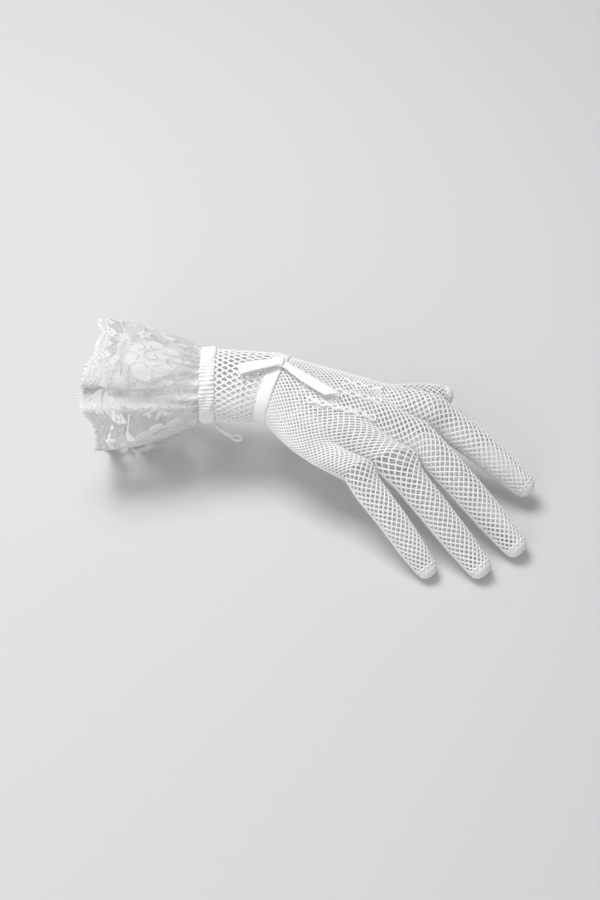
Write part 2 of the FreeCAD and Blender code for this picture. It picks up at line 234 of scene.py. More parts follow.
THREAD = cloth_material("net_thread", (0.93, 0.925, 0.915), bump=((2600, 2, 0.5), (700, 3, 0.3)))
TIP_KNIT = cloth_material("tip_knit", (0.91, 0.91, 0.91), through=0.2,
                          bump=((1500, 3, 0.9), (500, 2, 0.4)))
SATIN = cloth_material("satin", (0.93, 0.94, 0.96), rough=0.4, sheen=0.5, bump=((1800, 2, 0.12),))
TAPE = cloth_material("heading_tape", (0.91, 0.91, 0.91), bump=((1800, 3, 0.7), (400, 2, 0.4)))
CLOTHWORK = cloth_material("clothwork", (0.95, 0.945, 0.94), sheen=0.35,
                           bump=((2200, 3, 0.8), (600, 2, 0.5)))


# ---- digits
JOINT_EASE = 7                          # millimetres each side of a joint where the digit bends


class Digit:
    """Centre line, radius and frames of one digit, read from its CAD nodes and joints."""

    def __init__(self, name):
        self.name = name
        knuckle, middle = JOINTS[name + "_knuckle"], JOINTS[name + "_joint"]
        self.knuckle = np.array(knuckle["pos_m"]) / MM
        self.joint = np.array(middle["pos_m"]) / MM
        cap = node_points(name + "_tip_cap")
        self.tip_way = unit(cap.mean(0) - self.joint)
        reach = (cap - self.joint) @ self.tip_way
        self.tip_length = reach.max()
        self.cap_start = reach.min()
        self.lower_way = unit(self.joint - self.knuckle)
        self.lower_length = np.linalg.norm(self.joint - self.knuckle)
        sleeve = node_points(name + "_lower_sleeve")
        self.radius_knuckle = self.radius_at(sleeve, self.knuckle, self.lower_way, 0)
        self.radius_joint = self.radius_at(sleeve, self.knuckle, self.lower_way, 1)
        sleeve = node_points(name + "_upper_sleeve")
        self.radius_tip = self.radius_at(sleeve, self.joint, self.tip_way, 1)
        self.across = unit(np.cross(HAND_TURN[:, 2], self.lower_way))

    @staticmethod
    def radius_at(points, start, way, end):
        """Outer radius of a sleeve at its first or its last section."""
        along = (points - start) @ way
        off = np.linalg.norm(points - start - along[:, None] * way, axis=1)
        edge = along.max() if end else along.min()
        return off[np.abs(along - edge) < 0.5].max()

    def centre(self, distance):
        """Point on the centre line, at a distance in millimetres past the knuckle."""
        distance = np.asarray(distance, float)[..., None]
        lower = self.knuckle + self.lower_way * distance
        upper = self.joint + self.tip_way * (distance - self.lower_length)
        share = self.past_joint(distance)
        return lower * (1 - share) + upper * share

    def past_joint(self, distance):
        return smooth(distance, self.lower_length - JOINT_EASE, self.lower_length + JOINT_EASE)

    def way(self, distance):
        share = self.past_joint(np.asarray(distance, float)[..., None])
        return unit(self.lower_way * (1 - share) + self.tip_way * share)

    def radius(self, distance):
        """Radius of the worn sleeve: fuller at the pads, closing in a dome at the tip."""
        lower, knuckle = self.lower_length, self.radius_knuckle
        joint, tip = self.radius_joint, self.radius_tip
        stops = [-12, 0, lower * 0.5, lower, lower + self.tip_length * 0.45, lower + self.cap_start]
        sizes = [knuckle + 0.5, knuckle, (knuckle + joint) / 2 + 0.1,
                 joint + 0.15, (joint + tip) / 2 + 0.55, tip]
        return np.interp(distance, stops, sizes)

    def circle(self, distance, angle):
        """Point on the sleeve; angle 0 is the thumb side, a quarter turn is the back."""
        way = self.way(distance)
        up = unit(np.cross(way, np.broadcast_to(self.across, way.shape)))
        radius = self.radius(distance)[..., None]
        angle = np.asarray(angle, float)[..., None]
        return self.centre(distance) + radius * (np.cos(angle) * self.across + np.sin(angle) * up * 0.96)


DIGIT = {name: Digit(name) for name in DIGITS}

# ---- hand surface
CELLS = 7                               # diamonds across the back of one finger
FINGER_COLUMNS = 4 * CELLS              # half cells round one finger
HAND_COLUMNS = 4 * FINGER_COLUMNS       # half cells round the hand
HAND_ROWS = 48
ROW_STEP = 1.72                         # half a diamond along a finger
BAND_EDGE = 3.75
WRIST_HALF_WIDTH = 20.3
NEAR_BULGE, FAR_BULGE = 4.0, 0.6
WEB_PULLS = (-1.5, 4.2, 0.0)            # webs past the middle of their two knuckles

# half depth of the hand over and under its middle, at shares of the way to the webs
DEPTH_SHARES = (0.0, 0.2, 0.45, 0.7, 1.0)
BACK_DEPTHS = (15.6, 13.6, 12.2, 10.8, 9.0)
PALM_DEPTHS = (15.4, 14.2, 13.0, 11.4, 8.8)


def web_line():
    """Outer side, three webs and outer side of the four fingers, in the hand's frame."""
    spots = {name: to_hand(DIGIT[name].knuckle) for name in FINGERS}
    sides = {name: to_hand(DIGIT[name].knuckle + DIGIT[name].across) - spots[name] for name in FINGERS}
    points = [spots["little"] - sides["little"] * (DIGIT["little"].radius_knuckle - 0.9)]
    for first, second, pull in zip(FINGERS, FINGERS[1:], WEB_PULLS):
        middle = (spots[first] + spots[second]) / 2
        points.append(middle + np.array([pull, 0, 0]))
    points.append(spots["index"] + sides["index"] * (DIGIT["index"].radius_knuckle + 0.2))
    line = np.array(points)
    line[:, 2] = np.array([-1.6, -0.8, 0.2, -0.6, -2.0])
    return line


WEB_LINE = web_line()


def hand_surface(column, share):
    """Point of the net on the hand: column runs round it in half cells, share from band to webs."""
    column = np.asarray(column, float) % HAND_COLUMNS
    share = np.asarray(share, float)
    half = HAND_COLUMNS / 2
    back = column <= half
    across = np.where(back, column, HAND_COLUMNS - column) / half
    over = np.where(back, 1.0, -1.0)
    spread = smooth(share, 0.35, 1.0)
    finger = np.clip(np.floor(across * 4), 0, 3)
    within = across * 4 - finger
    round_place = -np.cos(pi * across)
    finger_place = (finger + 0.5 - np.cos(pi * within) / 2) / 2 - 1
    place = round_place * (1 - spread) + finger_place * spread
    stops = np.linspace(-1, 1, 5)
    far = np.stack([np.interp(place, stops, WEB_LINE[:, axis]) for axis in range(3)], -1)
    lean = radians(BAND_YAW - HAND_YAW)
    near = np.stack([BAND_EDGE - place * WRIST_HALF_WIDTH * sin(lean),
                     place * WRIST_HALF_WIDTH * cos(lean), np.zeros_like(place)], -1)
    middle = near * (1 - share[..., None]) + far * share[..., None]
    swell = np.sin(pi * share) * np.where(place < 0, -NEAR_BULGE, FAR_BULGE) * np.abs(place) ** 3
    middle[..., 1] += swell
    depth = np.where(back, np.interp(share, DEPTH_SHARES, BACK_DEPTHS),
                     np.interp(share, DEPTH_SHARES, PALM_DEPTHS))
    hand_height = depth * np.sqrt(np.clip(1 - round_place ** 2, 0, 1))
    radii = np.array([DIGIT[name].radius_knuckle for name in FINGERS])
    finger_height = radii[finger.astype(int)] * np.sin(pi * within) * 1.02
    web_spread = smooth(share, 0.55, 1.0)
    height = hand_height * (1 - web_spread) + finger_height * web_spread
    tendon = 0.7 * np.cos(2 * pi * (across * 4 - 0.5)) * smooth(share, 0.3, 0.8) * (1 - web_spread)
    height = height + np.where(back, tendon, 0)
    middle[..., 2] += over * height
    return from_hand(middle)


def finger_surface(name, column, row):
    """Point of the net on a finger: it starts as the hand's edge at the webs and turns round."""
    digit, number = DIGIT[name], FINGERS.index(name)
    column = np.asarray(column, float) % FINGER_COLUMNS
    row = np.asarray(row, float)
    half = FINGER_COLUMNS / 2
    back = column <= half
    under = HAND_COLUMNS - number * half - (FINGER_COLUMNS - column)
    hand_column = np.where(back, number * half + column, under)
    edge = hand_surface(hand_column, np.ones_like(column))
    start = (edge - digit.knuckle) @ digit.lower_way
    distance = start * np.exp(-row * ROW_STEP / 9.0) + row * digit_step(name)
    angle = pi * (1 - column / half)
    ring = digit.circle(distance, angle)
    share = smooth(row * ROW_STEP, 0, 13)[..., None]
    shifted = edge + digit.lower_way * (distance - start)[..., None]
    return shifted * (1 - share) + ring * share


def digit_rows(name):
    """Half rows of net from a finger's webs to its closed tip."""
    digit = DIGIT[name]
    return int(round((digit.lower_length + digit.cap_start) / ROW_STEP))


def digit_step(name):
    digit = DIGIT[name]
    return (digit.lower_length + digit.cap_start) / digit_rows(name)


# ---- net
KNOT_RADIUS, THREAD_RADIUS = 0.54, 0.41


def surface_normal(surface, column, row, step=0.35):
    """Normal of a surface(column, row), by small steps both ways."""
    along = surface(column, row + step) - surface(column, row - step)
    round_it = surface(column + step, row) - surface(column - step, row)
    return unit(np.cross(along, round_it))


def add_net(threads, surface, columns, rows, keep=None, steps=2,
            radii=(KNOT_RADIUS, THREAD_RADIUS), lens=False, flip=1.0):
    """Two families of slanting threads over a closed surface, crossing at the knots.

    columns is the number of half cells round it, and rows a (first, last) pair.  keep(points)
    says which places hold thread, and threads are cut into runs there.
    """
    first, last = rows
    rise = np.arange(0, (last - first) * steps + 1) / steps
    part = rise % 1.0
    eased = smooth(part) if lens else part
    shift = np.floor(rise) + eased
    radius = radii[0] + (radii[1] - radii[0]) * np.sin(pi * part) ** 0.7
    for lean in (1, -1):
        for start in range(0, columns, 2):
            column = start + first % 2 + lean * shift
            row = first + rise
            points = surface(column, row)
            normals = surface_normal(surface, column, row) * flip
            here = np.full(len(points), True) if keep is None else keep(points, column)
            marks = np.flatnonzero(np.diff(np.concatenate([[0], here.astype(int), [0]])))
            for begin, end in zip(marks[::2], marks[1::2]):
                run = slice(begin, end)
                if end - begin > 2:
                    threads.add(points[run], normals[run], radius[run], flat=0.85)


def hand_rows(column, row):
    return hand_surface(column, np.asarray(row) / HAND_ROWS)


THUMB = DIGIT["thumb"]
STUB_START = from_hand([4.0, 6.0, -3.0])    # inside the heel of the palm
STUB_BACK = np.linalg.norm(THUMB.knuckle - STUB_START)
STUB_WAY = (THUMB.knuckle - STUB_START) / STUB_BACK
STUB_SHARES = (0.0, 0.5, 1.0)
STUB_RADII = (9.0, 11.6, THUMB.radius_knuckle + 0.4)


def in_thumb(points, less=0.4):
    """True where a point lies inside the sleeve at the thumb's root."""
    along = (points - STUB_START) @ STUB_WAY
    off = np.linalg.norm(points - STUB_START - along[..., None] * STUB_WAY, axis=-1)
    radius = np.interp(along / STUB_BACK, STUB_SHARES, STUB_RADII) - less
    return (off < radius) & (along > 8) & (along < STUB_BACK + 6)


OUTLINE_ALONG = (3.75, 16.0, 36.0, 55.0, 80.0)
OUTLINE_LOW = (-20.5, -25.0, -31.0, -34.0, -14.0)
OUTLINE_HIGH = (20.5, 23.0, 27.5, 31.0, 35.0)
OUTLINE_DEPTH = (15.4, 14.0, 13.0, 11.2, 9.0)


def in_hand(points, less=0.5):
    """True where a point lies inside the hand, taken as ellipses across it."""
    place = to_hand(points)
    low = np.interp(place[..., 0], OUTLINE_ALONG, OUTLINE_LOW)
    high = np.interp(place[..., 0], OUTLINE_ALONG, OUTLINE_HIGH)
    depth = np.interp(place[..., 0], OUTLINE_ALONG, OUTLINE_DEPTH) - less
    middle, half = (low + high) / 2, (high - low) / 2 - less
    return ((place[..., 1] - middle) / half) ** 2 + (place[..., 2] / depth) ** 2 < 1


def seam(threads, surface, column, rows, radius=0.62, keep=None):
    """Sewn edge between the back and the palm: a cord with a stitch wound round it."""
    steps = np.arange(rows[0], rows[1] + 0.01, 0.5)
    columns = np.full(len(steps), float(column))
    points = surface(columns, steps)
    normals = surface_normal(surface, columns, steps)
    ripple = radius * (1 + 0.22 * np.cos(steps * 2 * pi / 1.0))
    if keep is not None:
        here = keep(points, columns)
        points, normals, ripple = points[here], normals[here], ripple[here]
    threads.add(points, normals, ripple)


def make_hand_net():
    half = HAND_COLUMNS / 2
    for name, on_back, node in (("back_net", True, "back_panel"), ("palm_net", False, "palm_panel")):
        def keep(points, column, on_back=on_back):
            side = np.asarray(column) % HAND_COLUMNS
            here = (side <= half) if on_back else ((side >= half) | (side <= 0.01))
            return here & ~in_thumb(points)
        threads = Threads()
        add_net(threads, hand_rows, HAND_COLUMNS, (0, HAND_ROWS), keep=keep)
        if on_back:
            seam(threads, hand_rows, 0, (0, HAND_ROWS))
            seam(threads, hand_rows, half, (0, HAND_ROWS), keep=lambda p, c: ~in_thumb(p))
        on_hand(threads.build(name, THREAD), "net", node)


def digit_net(name, surface, rows, keep=None):
    """Net of one length of a digit, with the sewn edge along both of its sides."""
    threads = Threads()
    add_net(threads, surface, FINGER_COLUMNS, rows, keep=keep)
    for column in (0, FINGER_COLUMNS / 2):
        seam(threads, surface, column, rows, radius=0.55, keep=keep)
    piece = threads.build(name, THREAD)
    return piece


def make_bending_nets(digit, surface, rows, knuckle_ease):
    """Lower and upper net of a digit, split near its joint, and its closed tip.

    rows are the rows where the lower net starts, where it meets the upper, and where that ends.
    """
    first, split, last = rows
    name = digit.name
    spans = (("lower", (first, split), "hand", name + "_lower", digit.knuckle, digit.lower_way,
              knuckle_ease, (name + "_knuckle_fold", name + "_lower_sleeve")),
             ("upper", (split, last), name + "_lower", name + "_upper", digit.joint, digit.tip_way,
              (-6.5, 6.5), (name + "_joint_fold", name + "_upper_sleeve")))
    for part, span, body, next_body, hinge, way, (start, end), stands_for in spans:
        piece = digit_net("%s_net_%s" % (name, part), surface, span)
        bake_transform(piece)
        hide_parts(*stands_for)
    make_tip(name)


def make_finger(name):
    digit = DIGIT[name]

    def surface(column, row):
        return finger_surface(name, column, row)

    split = int(round((digit.lower_length - 8) / digit_step(name)))
    ring = surface(np.arange(FINGER_COLUMNS), np.zeros(FINGER_COLUMNS))
    web_reach = ((ring - digit.knuckle) @ digit.lower_way).max()
    make_bending_nets(digit, surface, (0, split, digit_rows(name)), (web_reach + 0.3, web_reach + 11))


TIP_RINGS, TIP_SIDES = 14, 56


def make_tip(name):
    """Closed fingertip: dense knit drawn together at the end, with small gathers."""
    digit = DIGIT[name]
    start = digit.lower_length + digit.cap_start
    height = digit.tip_length - digit.cap_start
    share = np.linspace(-0.35, 1, TIP_RINGS)[:, None]
    angle = (np.arange(TIP_SIDES) * 2 * pi / TIP_SIDES)[None, :]
    flat_share = np.clip(share, 0, 1)
    ring = digit.circle(np.full((1, TIP_SIDES), start), angle + 0 * share[:1])
    middle = digit.centre(start)
    closing = np.sqrt(np.clip(1 - flat_share ** 2.2, 0, 1))[..., None]
    gathers = 1 + 0.035 * np.cos(angle * 14)[..., None] * (0.3 + flat_share[..., None])
    points = middle + (ring - middle) * closing * gathers + digit.tip_way * (share * height)[..., None]
    faces = list(grid_faces(TIP_RINGS, TIP_SIDES, True))
    piece = new_mesh(name + "_closed_tip", points.reshape(-1, 3), faces, TIP_KNIT)
    thicken = piece.modifiers.new("thickness", "SOLIDIFY")
    thicken.thickness = 0.5 * MM
    thicken.offset = -1
    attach(piece, name + "_upper")
    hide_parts(name + "_tip_cap")


def thumb_surface(column, row):
    """Sleeve of the thumb, row 0 at the heel of the palm."""
    column = np.asarray(column, float)
    row = np.asarray(row, float)
    distance = row * ROW_STEP - STUB_BACK
    angle = pi * (1 - column / (FINGER_COLUMNS / 2))
    ahead = THUMB.circle(np.maximum(distance, 0), angle)
    ring = THUMB.circle(np.zeros_like(distance), angle) - THUMB.knuckle
    back_radius = np.interp(1 + distance / STUB_BACK, STUB_SHARES, STUB_RADII) / THUMB.radius_knuckle
    behind = THUMB.knuckle + STUB_WAY * distance[..., None] + ring * back_radius[..., None]
    share = smooth(distance, -6, 6)[..., None]
    return behind * (1 - share) + ahead * share


def make_thumb():
    joint_row = (STUB_BACK + THUMB.lower_length - 8) / ROW_STEP
    tip_row = (STUB_BACK + THUMB.lower_length + THUMB.cap_start) / ROW_STEP
    rows = [int(round(row)) for row in ((STUB_BACK - 6) / ROW_STEP, joint_row, tip_row)]
    root = digit_net("thumb_net_root", thumb_surface, (2, rows[0]),
                     keep=lambda points, column: ~in_hand(points))
    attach(root, "hand")
    make_bending_nets(THUMB, thumb_surface, rows, (-5.0, 5.5))


# ---- wrist
NET_LENGTH = 27.0
CUFF_COLUMNS, CUFF_ROWS = 72, 9
HEADING_WIDTH = 7.0
HEADING_TURN = turn(HEADING_YAW)
ARM_TURN = turn(ARM_YAW)
HEADING = WRIST + ARM_TURN @ np.array([-BAND_EDGE - NET_LENGTH, 0, 0])


def oval(centre, frame_turn, half_width, half_depth, angle):
    """Point on an ellipse across the wrist; angle 0 is the thumb side, a quarter turn the top."""
    angle = np.asarray(angle, float)[..., None]
    side, up = frame_turn[:, 1], frame_turn[:, 2]
    return centre + side * np.cos(angle) * half_width + up * np.sin(angle) * half_depth


def cuff_surface(column, row):
    """Net between the band, at row 0, and the ruffle's heading, at the last row."""
    share = np.clip(np.asarray(row, float) / CUFF_ROWS, -0.2, 1.2)[..., None]
    angle = pi * 2 * np.asarray(column, float) / CUFF_COLUMNS
    front = oval(WRIST - BAND_TURN[:, 0] * (BAND_EDGE - 1), BAND_TURN, 20.3, 15.8, angle)
    middle = oval(WRIST - ARM_TURN[:, 0] * (BAND_EDGE + NET_LENGTH / 2), ARM_TURN, 20.6, 16.6, angle)
    rear = oval(HEADING + HEADING_TURN[:, 0] * 0.5, HEADING_TURN, 20.3, 16.8, angle)
    return (front * (1 - share) * (1 - 2 * share) + middle * 4 * share * (1 - share)
            + rear * share * (2 * share - 1))


def make_wrist_net():
    threads = Threads()
    add_net(threads, cuff_surface, CUFF_COLUMNS, (0, CUFF_ROWS), steps=6, radii=(0.68, 0.60),
            lens=True, flip=-1.0)
    on_hand(threads.build("wrist_net_threads", THREAD), "net", "wrist_net")


def ring_piece(name, centre, frame_turn, half_width, half_depth, profile, ripple, material, sides=240):
    """Band round the wrist from a closed loop of (along, out) points, with ripple(angle, along, out)."""
    angle = np.arange(sides) * 2 * pi / sides
    rows = []
    for along, out in profile:
        extra = out + ripple(angle, along, out)
        base = oval(centre, frame_turn, half_width, half_depth, angle)
        way = unit(base - centre)
        rows.append(base + way * extra[:, None] + frame_turn[:, 0] * along)
    points = np.array(rows).transpose(1, 0, 2)
    count = len(profile)
    step, row = np.meshgrid(np.arange(sides) * count, np.arange(count), indexing="ij")
    after, below = (step + count) % (sides * count), (row + 1) % count
    faces = np.stack([step + row, step + below, after + below, after + row], -1).reshape(-1, 4)
    return new_mesh(name, points.reshape(-1, 3), faces, material)


def soft_profile(width, thickness, points=9):
    """Outline of a soft flat band: a flattened loop with rounded long edges."""
    loop = []
    for step in range(points):
        share = step / (points - 1) * 2 - 1
        loop.append((share * width / 2, thickness * (0.55 + 0.45 * (1 - abs(share) ** 4))))
    for step in range(points):
        share = 1 - step / (points - 1) * 2
        loop.append((share * width / 2, 0.0))
    return loop


def make_band():
    def wrinkles(angle, along, out):
        soft = 0.22 * np.sin(angle * 3 + 1.0 + along * 0.22) + 0.12 * np.sin(angle * 11 - along * 0.5)
        return soft * (out > 0.2)
    piece = ring_piece("satin_band", WRIST, BAND_TURN, 20.0, 15.4, soft_profile(7.8, 1.0),
                       wrinkles, SATIN)
    on_hand(piece, "satin", "wrist_band", "wrist_elastic")


GATHERS = 62


def make_heading():
    centre = HEADING - HEADING_TURN[:, 0] * (HEADING_WIDTH / 2)

    def gathers(angle, along, out):
        tight = 1 - 0.55 * exp(-(along / 1.3) ** 2)
        fold = 0.34 * np.cos(angle * GATHERS + 1.6 * np.sin(angle * 7) + 0.25 * along) * tight
        wavy = fold + 0.25 * np.sin(angle * 9 + along * 0.8) - 0.35 * (1 - tight)
        return wavy * (0.35 + (out > 0.3) * 0.65)
    piece = ring_piece("gathered_heading", centre, HEADING_TURN, 20.0, 16.5,
                       soft_profile(8.4, 1.7, points=13), gathers, TAPE, sides=620)
    on_hand(piece, "heading", "ruffle_heading", "heading_elastic")


# ---- ruffle
RUFFLE_LENGTH = 61.0
RUFFLE_AROUND = 256.0                   # length of the lace strip, cut flat
FOLDS = 7
FLOOR_GAP = 0.4
REST_HEIGHT = 6                         # lace lower than this settles on to the table
START_SIDE, START_UP = 20.3, 17.2       # half sizes of the ruffle at the heading
MOUTH_SIDE, MOUTH_OVER, MOUTH_UNDER = 31.5, 28.0, 43.0
RUFFLE_START = HEADING - HEADING_TURN[:, 0] * HEADING_WIDTH


def bump_at(angle, centre, width):
    """Smooth hill round a direction on the ruffle, 1 at its centre."""
    apart = (np.asarray(angle) - centre + pi) % (2 * pi) - pi
    return np.exp(-(apart / width) ** 2)


LIP = 2.36                              # direction of the fold's lip, from the far side over the top
LIP_TURN = 0.36


def ruffle_point(around, down):
    """Point of the lace: around is 0..1 round the strip, down is 0 at the heading, 1 at the edge.

    The lace lies close over the arm, folds over itself at the lip and hangs to the table below.
    """
    around, down = np.broadcast_arrays(np.asarray(around, float), np.asarray(down, float))
    angle = 2 * pi * around
    grown = np.sin(np.clip(down, 0, 1) * pi / 2) ** 0.9
    lip = LIP + 0.10 * (1 - down)
    past = (angle - lip + pi) % (2 * pi) - pi
    lip_near = np.exp(-(past / 0.42) ** 2) * smooth(down, 0.05, 0.5)
    calm = 1 - 0.85 * bump_at(angle, LIP - 0.60, 0.75)
    phase = FOLDS * angle + 0.6 * np.sin(angle * 2 + 0.5)
    turned = angle - 0.11 * grown * calm * np.sin(phase + 0.5 * down)
    turned = turned - LIP_TURN * past / 0.2 * np.exp(-(past / 0.2) ** 2) * smooth(down, 0.05, 0.5)
    side, up = np.cos(turned), np.sin(turned)
    half_side = START_SIDE + (MOUTH_SIDE - START_SIDE) * grown
    half_up = START_UP + np.where(up > 0, MOUTH_OVER - START_UP, MOUTH_UNDER - START_UP) * grown
    wave = (3.4 * np.cos(phase) + 1.0 * np.cos(phase * 2.1 + 1.3)) * grown * calm
    overhang = -4.6 * np.tanh(past / 0.15) * lip_near
    lower_lobe = 6.5 * bump_at(angle, LIP + 0.85, 0.36) * grown
    creases = 1.15 * np.cos(angle * 27 + 3 * np.sin(angle * 4)) * np.exp(-down * 3.4)
    radial = wave + overhang + lower_lobe + creases
    reach = RUFFLE_LENGTH * (0.87 + 0.13 * bump_at(angle, LIP + 0.15, 0.55)
                             + 0.04 * bump_at(angle, 0.0, 0.8))
    along = -reach * down - 1.2 * np.sin(phase + 1.0) * grown * calm
    local = np.stack([along, side * (half_side + radial), up * (half_up + radial)], -1)
    points = RUFFLE_START + local @ HEADING_TURN.T
    points[..., 1] += 1.5 * grown
    height = points[..., 2]
    settled = REST_HEIGHT * np.exp((height - REST_HEIGHT) / REST_HEIGHT)
    points[..., 2] = np.where(height < REST_HEIGHT, settled, height) + FLOOR_GAP
    return points


def painted_shade_tulle_material():
    """Open hexagon net: threads at the cells' edges, and nearly clear between them. The threads carry
    painted shade: white lace coloured mid grey, so the ground reads darker than the raised flowers.
    """
    # painted shade: the tulle thread is as white as the flowers, and this mid grey stands in for the
    # shade that makes the ground read darker
    material = cloth_material("tulle", (0.76, 0.76, 0.77), sheen=0.2)
    link = material.node_tree.links.new
    shader = material.node_tree.nodes["Principled BSDF"]
    cut = add_node(material, "ShaderNodeTexCoord", {})
    slant = add_node(material, "ShaderNodeMapping", {"Rotation": (0, 0, radians(45))})
    cells = add_node(material, "ShaderNodeTexVoronoi", {})
    cells.feature = "DISTANCE_TO_EDGE"
    set_inputs(cells, {"Scale": TULLE_SCALE, "Randomness": 0.3})
    thread = add_node(material, "ShaderNodeMapRange",
                      {"From Min": 0.07, "From Max": 0.13, "To Min": 0.85, "To Max": 0.03})
    link(cut.outputs["UV"], slant.inputs["Vector"])
    link(slant.outputs["Vector"], cells.inputs["Vector"])
    link(cells.outputs["Distance"], thread.inputs["Value"])
    link(thread.outputs["Result"], shader.inputs["Alpha"])
    return material


GROUND_AROUND, GROUND_DOWN = 420, 70


def make_lace_ground():
    around = np.arange(GROUND_AROUND + 1) / GROUND_AROUND
    down = np.arange(GROUND_DOWN + 1) / GROUND_DOWN * 0.985
    grid_down, grid_around = np.meshgrid(down, around, indexing="ij")
    points = ruffle_point(grid_around, grid_down)
    faces = grid_faces(GROUND_DOWN + 1, GROUND_AROUND + 1, False)
    piece = new_mesh("lace_ground", points.reshape(-1, 3), faces, painted_shade_tulle_material())
    layer = piece.data.uv_layers.new(name="cut")
    corner = np.empty(len(piece.data.loops), dtype=np.int32)
    piece.data.loops.foreach_get("vertex_index", corner)
    flat = np.stack([grid_around, grid_down * RUFFLE_LENGTH / RUFFLE_AROUND], -1).reshape(-1, 2)
    layer.data.foreach_set("uv", flat[corner].astype(np.float32).ravel())
    return piece


# ---- lace pattern
TULLE_SCALE = 270.0                     # tulle cells along the strip's length
PATTERN_REPEAT = 100.0
PATTERN_SHIFT = 60.0


def disc(x, y, cx, cy, rx, ry, tilt=0.0):
    """Signed size of an oval: positive inside, roughly in millimetres."""
    c, s = cos(radians(tilt)), sin(radians(tilt))
    u, v = (x - cx) * c + (y - cy) * s, -(x - cx) * s + (y - cy) * c
    return (1 - np.sqrt((u / rx) ** 2 + (v / ry) ** 2)) * min(rx, ry)


def ring(x, y, cx, cy, radius, width):
    return width / 2 - np.abs(np.hypot(x - cx, y - cy) - radius)


def leaf(x, y, start, end, width, bend=0.0):
    """Pointed leaf from start to end, swelling to width in the middle."""
    (x0, y0), (x1, y1) = start, end
    length = hypot(x1 - x0, y1 - y0)
    ux, uy = (x1 - x0) / length, (y1 - y0) / length
    u = (x - x0) * ux + (y - y0) * uy
    v = -(x - x0) * uy + (y - y0) * ux
    share = np.clip(u / length, 0, 1)
    half = width / 2 * np.sin(pi * share) ** 0.8
    v = v - bend * np.sin(pi * share)
    return half - np.hypot(v, np.maximum(0, np.maximum(-u, u - length)))


def stroke(x, y, points, width):
    """Rounded line through a few points."""
    best = np.full(np.shape(x), -99.0)
    for (x0, y0), (x1, y1) in zip(points, points[1:]):
        dx, dy = x1 - x0, y1 - y0
        share = np.clip(((x - x0) * dx + (y - y0) * dy) / (dx * dx + dy * dy), 0, 1)
        best = np.maximum(best, width / 2 - np.hypot(x - x0 - share * dx, y - y0 - share * dy))
    return best


def disc_wreath(x, y, cx, cy, reach, angles, half_sizes, extra_turn=0):
    """Ovals set round a middle; reach is how far out they lie along and down the strip."""
    ovals = []
    for angle in angles:
        px = cx + reach[0] * cos(radians(angle))
        py = cy + reach[1] * sin(radians(angle))
        ovals.append(disc(x, y, px, py, *half_sizes, angle + extra_turn))
    return np.maximum.reduce(ovals)


def rose(x, y, cx, cy):
    """Full-blown rose: overlapping petals with open gaps and a curled line at the heart."""
    angles = [360 / 7 * step + 14 for step in range(7)]
    petals = disc_wreath(x, y, cx, cy, (13.0, 11.0), angles, (7.4, 5.4), 90)
    shape = np.maximum(disc(x, y, cx, cy, 10.5, 9.5, 10), petals)
    angle = np.arctan2(y - cy, x - cx)
    distance = np.hypot(x - cx, (y - cy) * 1.12)
    curl = np.abs(distance - (1.2 + 0.95 * (angle + pi))) - 0.55
    shape = np.minimum(shape, np.where(distance < 8.2, curl, shape))
    petal_gap = np.abs(distance - 10.4 - 1.3 * np.cos(angle * 7)) - 0.42
    ring_zone = (distance > 8.4) & (distance < 12.4) & (np.cos(angle * 7) < 0.6)
    shape = np.minimum(shape, np.where(ring_zone, petal_gap, shape))
    rays = np.abs(np.sin(angle * 3.5 + 0.4)) * distance * 0.28 - 0.30
    return np.minimum(shape, np.where(distance > 12.2, rays, shape))


def ring_flower(x, y, cx, cy):
    """Two rings, with small discs round the outer one."""
    discs = disc_wreath(x, y, cx, cy, (6.6, 6.6), [72 * step + 200 for step in range(5)], (1.5, 1.2))
    return np.maximum.reduce([ring(x, y, cx, cy, 4.6, 2.1), discs, ring(x, y, cx, cy, 1.4, 0.5)])


def spray(x, y, cx, cy, way, mirror=1.0):
    """Stem with paired pointed leaves and a chain of small dots beside it."""
    def put(along, off):
        a = radians(way)
        return (cx + along * cos(a) - mirror * off * sin(a),
                cy + along * sin(a) + mirror * off * cos(a))
    shapes = [stroke(x, y, [put(0, 0), put(9, 1.2), put(20, 0.5), put(30, -2.0)], 0.8)]
    for step in range(4):
        root = 4 + step * 6.5
        shapes.append(leaf(x, y, put(root, 0.6), put(root + 7.5, 6.2 - step * 0.5), 3.0, 0.5))
        shapes.append(leaf(x, y, put(root + 2, 0.4), put(root + 9, -4.6), 2.6, -0.5))
    shapes += [disc(x, y, *put(6 + step * 3.6, -6.8 + 0.3 * step), 0.75, 0.75) for step in range(7)]
    return np.maximum.reduce(shapes)


SCALLOP = 25.0
PICOT = 1.9


def scallop_edge(x):
    """Distance of the outer edge below the strip's straight length, swinging with each scallop."""
    share = (x % SCALLOP) / SCALLOP
    return 1.8 * np.abs(np.sin(pi * share)) ** 0.7 - 0.9


def border_shape(x, y):
    """Scalloped border: a dense band, two corded lines with a thin slit, and a row of picots."""
    edge = RUFFLE_LENGTH - 1.6 + scallop_edge(x)
    depth = edge - y
    inner = 7.2 + 1.6 * np.cos(x * 2 * pi / 12.5)
    band = np.minimum(depth, inner - depth)
    for low, wobble in ((2.4, 0.25), (5.2, 0.5)):
        slit = np.abs(depth - low - wobble * np.sin(x * 2 * pi / 6.25)) - 0.32
        gaps = np.where(np.sin(x * 2 * pi / 3.1) > -0.55, slit, 1.0)
        band = np.minimum(band, gaps)
    eyelets = np.hypot((x % 3.125) - 1.56, depth - 3.8) - 0.48
    band = np.minimum(band, eyelets)
    picot = np.minimum(0.48 - np.abs((x % PICOT) - PICOT / 2) + 0.12 * (depth + 1.5), depth + 1.5)
    return np.maximum(band, np.minimum(picot, 0.6 - depth))


